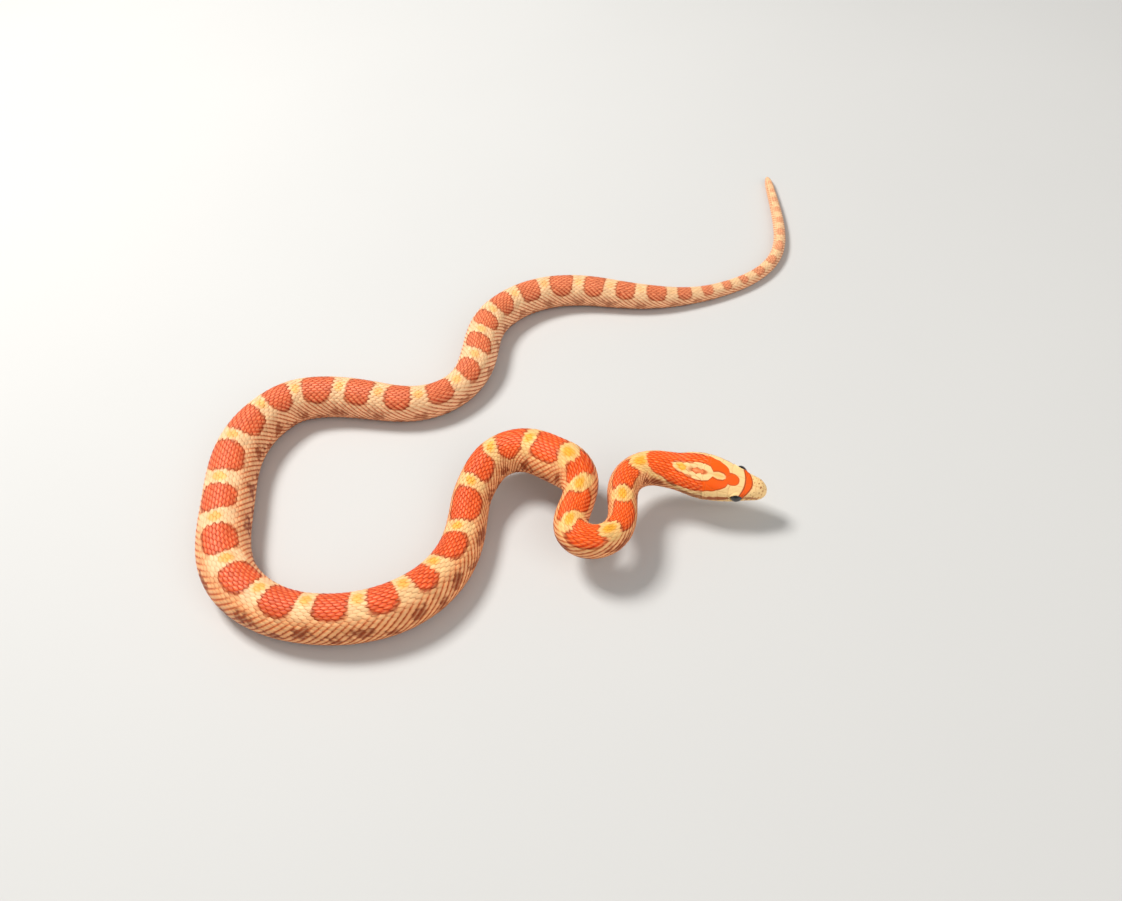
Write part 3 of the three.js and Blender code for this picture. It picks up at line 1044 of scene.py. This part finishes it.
class Bench:
    """Makes the nodes of one material."""

    def __init__(self, name):
        self.material = bpy.data.materials.new(name)
        self.material.use_nodes = True
        self.tree = self.material.node_tree
        self.tree.nodes.clear()

    def node(self, kind, settings=None, inputs=None):
        """Adds a node with its settings and the values or links of its sockets."""
        node = self.tree.nodes.new(kind)
        for name, setting in (settings or {}).items():
            if name == "stops":
                self._set_stops(node.color_ramp, setting)
            else:
                setattr(node, name, setting)
        for key, given in (inputs or {}).items():
            socket = node.inputs[key]
            given = given.socket if isinstance(given, Value) else given
            if isinstance(given, bpy.types.NodeSocket):
                self.tree.links.new(given, socket)
            else:
                socket.default_value = given
        return node

    def _set_stops(self, ramp, stops):
        while len(ramp.elements) < len(stops):
            ramp.elements.new(1)
        for element, (place, colour) in zip(ramp.elements, stops):
            element.position = place
            element.color = solid(colour)

    def value(self, kind, settings=None, inputs=None):
        return Value(self, self.node(kind, settings, inputs).outputs[0])

    def attribute(self, name):
        settings = {"attribute_name": name, "attribute_type": "GEOMETRY"}
        return Value(self, self.node("ShaderNodeAttribute", settings).outputs["Fac"])

    def ramp(self, factor, *stops):
        """The colour at factor on a row of (place, colour) stops."""
        return self.node("ShaderNodeValToRGB", {"stops": stops}, {"Fac": factor}).outputs["Color"]

    def mix(self, factor, first, second, way="MIX"):
        settings = {"data_type": "RGBA", "blend_type": way}
        return self.node("ShaderNodeMix", settings, {0: factor, 6: first, 7: second}).outputs[2]

    def tone(self, colour, factor):
        """Multiplies a colour by a number."""
        parts = {0: factor, 1: factor, 2: factor}
        grey = self.node("ShaderNodeCombineColor", None, parts).outputs[0]
        return self.mix(1.0, colour, grey, "MULTIPLY")

    def noise(self, scale, detail):
        vector = self.node("ShaderNodeTexCoord").outputs["Object"]
        inputs = {"Vector": vector, "Scale": scale, "Detail": detail}
        return self.value("ShaderNodeTexNoise", {"noise_dimensions": "3D"}, inputs)

    def bump(self, height, strength):
        inputs = {"Strength": strength, "Distance": GRAIN_HEIGHT, "Height": height}
        return self.node("ShaderNodeBump", None, inputs).outputs["Normal"]

    def finish(self, inputs):
        """Ends the material with a principled shader that has these inputs."""
        shader = self.node("ShaderNodeBsdfPrincipled", None, {"IOR": 1.45, **inputs})
        self.node("ShaderNodeOutputMaterial", None, {"Surface": shader.outputs[0]})
        return self.material


def solid(colour):
    """A colour with full opacity."""
    return (*colour, 1.0)


def marked_colour(bench, colours):
    """The colour of the markings, the same on the skin and on the coat."""
    position = bench.attribute("along")
    saddle = bench.ramp(
        position,
        (0.0, colours.nape),
        (0.12, colours.nape),
        (0.35, colours.saddle),
        (0.75, colours.rear_saddle),
        (1.0, colours.rear_saddle),
    )
    pale = bench.ramp(
        position,
        (0.0, colours.head_pale),
        (0.04, colours.head_pale),
        (0.06, colours.neck_pale),
        (0.15, colours.neck_pale),
        (0.4, colours.pale),
    )
    patches = (bench.noise(900.0, 2.0) - 0.35) * 1.6
    rearward = ((position - 0.38) * 5.0).clamped()
    colour = bench.mix(patches, solid(colours.flank), solid(colours.flank_deep))
    colour = bench.mix(rearward, colour, solid(colours.rear_flank))
    colour = bench.mix(bench.attribute("belly"), colour, solid(colours.belly))
    colour = bench.mix(bench.attribute("check") * 0.85, colour, solid(colours.check))
    colour = bench.mix(bench.attribute("pale"), colour, pale)
    colour = bench.mix(bench.attribute("gold") * 0.9, colour, solid(colours.gold))
    colour = bench.mix(bench.attribute("saddle"), colour, saddle)
    colour = bench.mix(bench.attribute("blotch") * 0.92, colour, solid(colours.blotch))
    return bench.mix(bench.attribute("rim") * 0.95, colour, solid(colours.rim))


def skin_material(colours):
    """Skin between the scales, darkened as painted shade where the scales cover it, and the smooth
    plates of the head.
    """
    bench = Bench("snake skin")
    # seam holds the dark plate seams and the painted shade of the nostrils
    seam = bench.attribute("seam")
    grain = bench.noise(9000.0, 5.0)
    colour = bench.tone(marked_colour(bench, colours), 0.86 + bench.noise(3800.0, 4.0) * 0.28)
    # Painted shade: the skin that the scales cover is darkened
    colour = bench.tone(colour, 1.0 - bench.attribute("cover") * 0.68)
    return bench.finish({
        "Base Color": bench.mix((seam * 0.26).clamped(), colour, solid(colours.seam)),
        "Roughness": 0.36 + grain * 0.16 + seam * 0.2,
        "Specular IOR Level": 0.25,
        "Normal": bench.bump(grain, 0.12),
    })


def scale_material(colours):
    """The scales: painted shade at root and edge, a painted highlight along the keel on the back, and
    slanting lines of painted shade and painted highlight on the flanks.
    """
    bench = Bench("snake scales")
    grain_map = bench.node("ShaderNodeUVMap", {"uv_map": "Grain"}).outputs[0]
    split = bench.node("ShaderNodeSeparateXYZ", None, {0: grain_map})
    across, forward = Value(bench, split.outputs[0]), Value(bench, split.outputs[1])
    side = abs(across - 0.5) * 2.0
    tint = bench.attribute("tint")
    lean = bench.attribute("lean")
    saddle = bench.attribute("saddle")
    on_flank = abs(lean)
    on_back = 1.0 - on_flank
    # slanting: the way that the flank lines of painted shade and painted highlight cross a scale
    slanting = forward - (across - 0.5) * lean * 0.586

    # Painted shade round the visible edge of each scale on the back
    outline = ((side + (forward - 0.5).clamped() * 1.5 - 0.60) * 2.6).clamped()
    # Painted shade in slanting lines across the flank scales, standing in for the shade between rows
    lines = (((slanting - 0.74) * 7.0).clamped() + ((0.40 - slanting) * 7.0).clamped()).clamped()
    # edge is all the painted shade of a scale, weaker on pale bands and on blotches
    edge = outline * on_back + lines * on_flank
    edge = edge * (1.0 - bench.attribute("pale") * (1.0 - saddle) * 0.65)
    edge = edge * (1.0 - bench.attribute("blotch") * 0.6)

    # Where the painted highlight lies along the keel of a scale on the back
    keel = (1.0 - side * 3.4).clamped() * (1.0 - abs(forward - 0.66) * 3.0).clamped()
    # Where the painted highlight lies along the middle of a slanting flank row
    ridge_highlight = (1.0 - abs(slanting - 0.57) * 6.0).clamped()
    # Painted highlight: lighter keels on the back, strongest on the saddles, and lighter flank rows
    painted_highlight = (keel * on_back * (0.5 + saddle * 0.7) + ridge_highlight * on_flank) * (0.25 + tint * 0.6)

    colour = bench.tone(marked_colour(bench, colours), 0.80 + tint * 0.32)
    # darker is the scale's colour in painted shade, mixed in by edge
    darker = bench.mix(1.0, colour, solid(colours.edge_shade), "MULTIPLY")
    colour = bench.mix(edge * 0.85, colour, darker)
    # Screens the painted highlight over the colour
    colour = bench.mix(painted_highlight, colour, solid(colours.keel_highlight), "SCREEN")
    fibre = bench.noise(5200.0, 4.0)
    return bench.finish({
        "Base Color": bench.tone(colour, 0.9 + fibre * 0.2),
        "Roughness": 0.38 + fibre * 0.16,
        "Specular IOR Level": 0.22,
        "Normal": bench.bump(fibre, 0.15),
    })


def eye_material(colours):
    """A black pupil in a dark red-brown iris under a clear scale."""
    bench = Bench("snake eye")
    colour = bench.ramp(
        bench.attribute("sight"),
        (0.0, colours.pupil),
        (0.36, colours.pupil),
        (0.40, colours.iris),
        (0.52, [part * 0.45 for part in colours.iris]),
        (0.62, colours.eye_rim),
    )
    fleck = bench.noise(9000.0, 3.0)
    return bench.finish({
        "Base Color": bench.tone(colour, 0.6 + fleck * 0.8),
        "Roughness": 0.10 + fleck * 0.05,
        "Coat Weight": 1.0,
        "Coat Roughness": 0.03,
    })


def floor_material(colour):
    """A pale matt floor with faint clouding."""
    bench = Bench("pale floor")
    cloud = bench.noise(7.0, 4.0)
    return bench.finish({
        "Base Color": bench.tone(solid(colour), 0.96 + cloud * 0.06),
        "Roughness": 0.62 + cloud * 0.12,
        "IOR": 1.4,
    })


# What a user may change


def number_property(name, description, default, low, high):
    return FloatProperty(name=name, description=description, default=default, min=low, max=high)


def power_property(name, description, default):
    return FloatProperty(name=name, description=description, default=default, min=0, unit="POWER")


def colour_property(name, description, default):
    return FloatVectorProperty(
        name=name, description=description, default=default, size=3, min=0, max=1, subtype="COLOR"
    )


class SnakeSizes(bpy.types.PropertyGroup):
    """Sizes of the skin and of the coat, in mm or as shares."""

    coat_depth: number_property(
        "Coat depth", "Most that the skin lies under the scale tips, in mm", 0.26, 0.05, 0.4
    )
    coat_share: number_property(
        "Coat share", "Coat depth as a share of the body's width", 0.028, 0.005, 0.05
    )
    scale_rows: IntProperty(
        name="Scale rows",
        description="Rows of scales over the back at midbody",
        default=33,
        min=15,
        max=41,
    )
    scale_overlap: number_property(
        "Scale length", "Length of a scale over the step to the next", 1.5, 1.0, 2.0
    )
    scale_width: number_property(
        "Scale width", "Half the width of a scale over the row spacing", 0.88, 0.5, 1.5
    )
    head_rings: IntProperty(
        name="Head rings", description="Rings of the head's skin", default=155, min=60, max=220
    )


class SnakeColours(bpy.types.PropertyGroup):
    """Colours of the markings, of the painted shade and of the painted highlight."""

    nape: colour_property("Neck saddles", "Saddles of the head and neck", (1.0, 0.115, 0.004))
    saddle: colour_property("Midbody saddles", "Saddles at midbody", (0.80, 0.100, 0.022))
    rear_saddle: colour_property("Rear saddles", "Saddles of the rear and tail", (0.78, 0.20, 0.08))
    head_pale: colour_property("Head stripes", "Pale parts of the head", (1.0, 0.67, 0.30))
    neck_pale: colour_property("Neck bands", "Bands of the neck", (0.95, 0.57, 0.20))
    pale: colour_property("Pale bands", "Bands of the body and tail", (0.96, 0.60, 0.32))
    gold: colour_property("Gold", "Middles of the pale bands", (0.95, 0.41, 0.012))
    flank: colour_property("Flank", "Sides of the body", (1.0, 0.47, 0.20))
    rear_flank: colour_property("Rear flank", "Sides of the rear of the body", (1.0, 0.54, 0.29))
    flank_deep: colour_property("Deep flank", "Darker scales of the sides", (0.88, 0.29, 0.08))
    blotch: colour_property("Side blotches", "Dark blotches of the sides", (0.34, 0.052, 0.008))
    rim: colour_property("Saddle edges", "Edges of the saddles", (0.36, 0.060, 0.008))
    belly: colour_property("Belly", "Underside", (0.88, 0.66, 0.46))
    check: colour_property("Belly checks", "Checks of the underside", (0.70, 0.20, 0.06))
    # Colour of the painted shade at the scales' edges and in the flank lines
    edge_shade: colour_property("Scale edge shade", "Painted shade at the edge of a scale", (0.50, 0.12, 0.02))
    # Colour of the painted highlight along the scales' keels and flank rows
    keel_highlight: colour_property("Scale keel highlights", "Painted highlight along a scale's middle", (0.50, 0.29, 0.15))
    # Colour of the plate seams, and of the painted shade in the nostrils
    seam: colour_property("Plate seams", "Seams between the plates of the head", (0.50, 0.16, 0.03))
    iris: colour_property("Iris", "Iris of the eye", (0.10, 0.018, 0.008))
    pupil: colour_property("Pupil", "Pupil of the eye", (0.002, 0.001, 0.001))
    eye_rim: colour_property("Eye rim", "Outer part of the eyeball", (0.012, 0.006, 0.004))


class StageSettings(bpy.types.PropertyGroup):
    """The floor and the lights."""

    floor: colour_property("Floor", "Colour of the floor", (0.62, 0.62, 0.61))
    key: power_property("Key light", "Power of the key light", 5.6)
    fill: power_property("Fill light", "Power of the fill light", 2.4)
    sky: number_property("Sky", "Strength of the light all round", 0.34, 0, 10)


FLESH_NODES = [name for name in sorted(frame["nodes"]) if not name.startswith("eye")]

# The eyeballs: name, the solid that each replaces, and its side
EYES = (
    ("eyeball_right", "eye_right", 1),
    ("eyeball_left", "eye_left", -1),
)

# The stretches of the coat: name, from s, to s, and slot
COAT_PIECES = (
    ("scales_neck", 0, 60, "neck_skin"),
    ("scales_torso_front", 60, 127, "torso_skin"),
    ("scales_torso_middle", 127, 190, "torso_skin"),
    ("scales_torso_rear", 190, 258, "torso_skin"),
    ("scales_torso_end", 258, 334, "torso_skin"),
    ("scales_tail", 334, 401, "tail_skin"),
)


class SNAKE_OT_skin(bpy.types.Operator):
    """Builds the one closed skin with the plates of the head"""

    bl_idname = "snake.skin"
    bl_label = "Skin"

    def execute(self, context):
        skin = build_skin(context.scene.snake_sizes)
        material = skin_material(context.scene.snake_colours)
        finish_piece(skin, material, FLESH_NODES)
        return {"FINISHED"}


class SNAKE_OT_scales(bpy.types.Operator):
    """Lays the scales of the back and sides"""

    bl_idname = "snake.scales"
    bl_label = "Scales"

    def execute(self, context):
        sizes = context.scene.snake_sizes
        random = np.random.default_rng(SEED)
        template = model_scale()
        material = scale_material(context.scene.snake_colours)
        placed = scale_places(sizes)
        for name, start, end, slot in COAT_PIECES:
            inside = (placed[0] >= start) & (placed[0] < end)
            chosen = [values[inside] for values in placed]
            finish_piece(lay_scales(name, template, chosen, sizes, random), material)
        return {"FINISHED"}


class SNAKE_OT_scutes(bpy.types.Operator):
    """Lays the broad scutes of the belly and the paired ones under the tail"""

    bl_idname = "snake.scutes"
    bl_label = "Scutes"

    def execute(self, context):
        sizes = context.scene.snake_sizes
        random = np.random.default_rng(SEED + 1)
        template = model_scute()
        material = bpy.data.materials["snake scales"]
        places = rank_places(15.5, BODY_LENGTH - 1.2)[::2]
        reach = 180 - BACK_EDGE + 4
        belly = places[places < VENT_AT]
        chosen = belly, np.full(len(belly), 180.0)
        piece = lay_scutes("scutes_belly", template, chosen, reach, sizes, random)
        finish_piece(piece, material)
        tail = places[places >= VENT_AT]
        middles = np.tile([180 - reach / 2, reach / 2 - 180], len(tail))
        chosen = np.repeat(tail, 2) + np.tile([0.0, 0.3], len(tail)), middles
        piece = lay_scutes("scutes_tail", template, chosen, reach / 2 + 1.5, sizes, random)
        finish_piece(piece, material)
        return {"FINISHED"}


class SNAKE_OT_eyes(bpy.types.Operator):
    """Makes the two eyeballs"""

    bl_idname = "snake.eyes"
    bl_label = "Eyes"

    def execute(self, context):
        material = eye_material(context.scene.snake_colours)
        radius = EYE_RADIUS * MM
        for name, node, side in EYES:
            centre, outward = eye_axis(side)
            deselect_all()
            bpy.ops.mesh.primitive_uv_sphere_add(segments=48, ring_count=32, radius=radius)
            eye = bpy.context.object
            eye.name = name
            places = vertex_places(eye.data)
            forward = np.clip(places[:, 2] / radius, -1, 1)
            add_attribute(eye.data, "sight", np.arccos(forward) / np.pi)
            places[:, 2] *= 1 + 0.05 * np.maximum(forward, 0) ** 6
            turn = Vector((0, 0, 1)).rotation_difference(Vector(outward)).to_matrix()
            move_vertices(eye.data, places @ np.array(turn).T + centre * MM)
            finish_piece(eye, material, [node])
        return {"FINISHED"}


def camera_turn():
    """The camera's own axes, from its pitch and roll."""
    pitch, roll = np.radians(CAMERA_PITCH), np.radians(CAMERA_ROLL)
    ahead = np.array([0, np.cos(pitch), -np.sin(pitch)])
    level = np.array([1.0, 0, 0])
    below = np.cross(ahead, level)
    right = np.cos(roll) * level + np.sin(roll) * below
    down = -np.sin(roll) * level + np.cos(roll) * below
    return Matrix(np.column_stack([right, -down, -ahead]).tolist())


def add_area_light(name, place, width, power):
    """A soft square light that looks at the middle of the floor."""
    light = bpy.data.lights.new(name, "AREA")
    light.size = width
    light.energy = power
    light.color = LAMP_COLOUR
    lamp = bpy.data.objects.new(name, light)
    bpy.context.scene.collection.objects.link(lamp)
    lamp.location = place
    lamp.rotation_euler = (-Vector(place)).to_track_quat("-Z", "Y").to_euler()


class SNAKE_OT_stage(bpy.types.Operator):
    """Sets the camera, the floor and the lights"""

    bl_idname = "snake.stage"
    bl_label = "Stage"

    def execute(self, context):
        scene, settings = context.scene, context.scene.snake_stage
        lens = bpy.data.cameras.new("camera")
        lens.sensor_width = SENSOR_WIDTH
        lens.lens = FOCAL_PIXELS / PHOTO_WIDTH * SENSOR_WIDTH
        lens.clip_start = 0.005
        camera = bpy.data.objects.new("camera", lens)
        scene.collection.objects.link(camera)
        camera.matrix_world = Matrix.Translation(Vector(CAMERA_PLACE) * MM) @ camera_turn().to_4x4()
        scene.camera = camera
        deselect_all()
        bpy.ops.mesh.primitive_plane_add(size=FLOOR_WIDTH, location=(0, 0, -FLOOR_DROP))
        floor = bpy.context.object
        floor.name = "floor"
        floor.data.materials.append(floor_material(settings.floor))
        add_area_light("key light", KEY_PLACE, KEY_WIDTH, settings.key)
        add_area_light("fill light", FILL_PLACE, FILL_WIDTH, settings.fill)
        world = bpy.data.worlds.new("studio")
        world.use_nodes = True
        background = world.node_tree.nodes["Background"]
        background.inputs["Color"].default_value = SKY_COLOUR
        background.inputs["Strength"].default_value = settings.sky
        scene.world = world
        scene.view_settings.view_transform = "Standard"
        return {"FINISHED"}


class SNAKE_PT_panel(bpy.types.Panel):
    """Lists the steps that build the snake"""

    bl_label = "Corn snake"
    bl_space_type = "VIEW_3D"
    bl_region_type = "UI"
    bl_category = "Corn snake"

    def draw(self, context):
        for step in STEPS:
            self.layout.operator(step.bl_idname)
        scene = context.scene
        for group in (scene.snake_sizes, scene.snake_colours, scene.snake_stage):
            for name in group.__annotations__:
                self.layout.prop(group, name)


STEPS = (SNAKE_OT_skin, SNAKE_OT_scales, SNAKE_OT_scutes, SNAKE_OT_eyes, SNAKE_OT_stage)
GROUPS = (SnakeSizes, SnakeColours, StageSettings)


def register():
    for item in (*GROUPS, *STEPS, SNAKE_PT_panel):
        bpy.utils.register_class(item)
    bpy.types.Scene.snake_sizes = PointerProperty(type=SnakeSizes)
    bpy.types.Scene.snake_colours = PointerProperty(type=SnakeColours)
    bpy.types.Scene.snake_stage = PointerProperty(type=StageSettings)


def unregister():
    del bpy.types.Scene.snake_sizes
    del bpy.types.Scene.snake_colours
    del bpy.types.Scene.snake_stage
    for item in (SNAKE_PT_panel, *STEPS, *GROUPS):
        bpy.utils.unregister_class(item)


def main():
    register()
    bpy.ops.snake.skin()
    bpy.ops.snake.scales()
    bpy.ops.snake.scutes()
    bpy.ops.snake.eyes()
    bpy.ops.snake.stage()


if __name__ == "__main__":
    main()
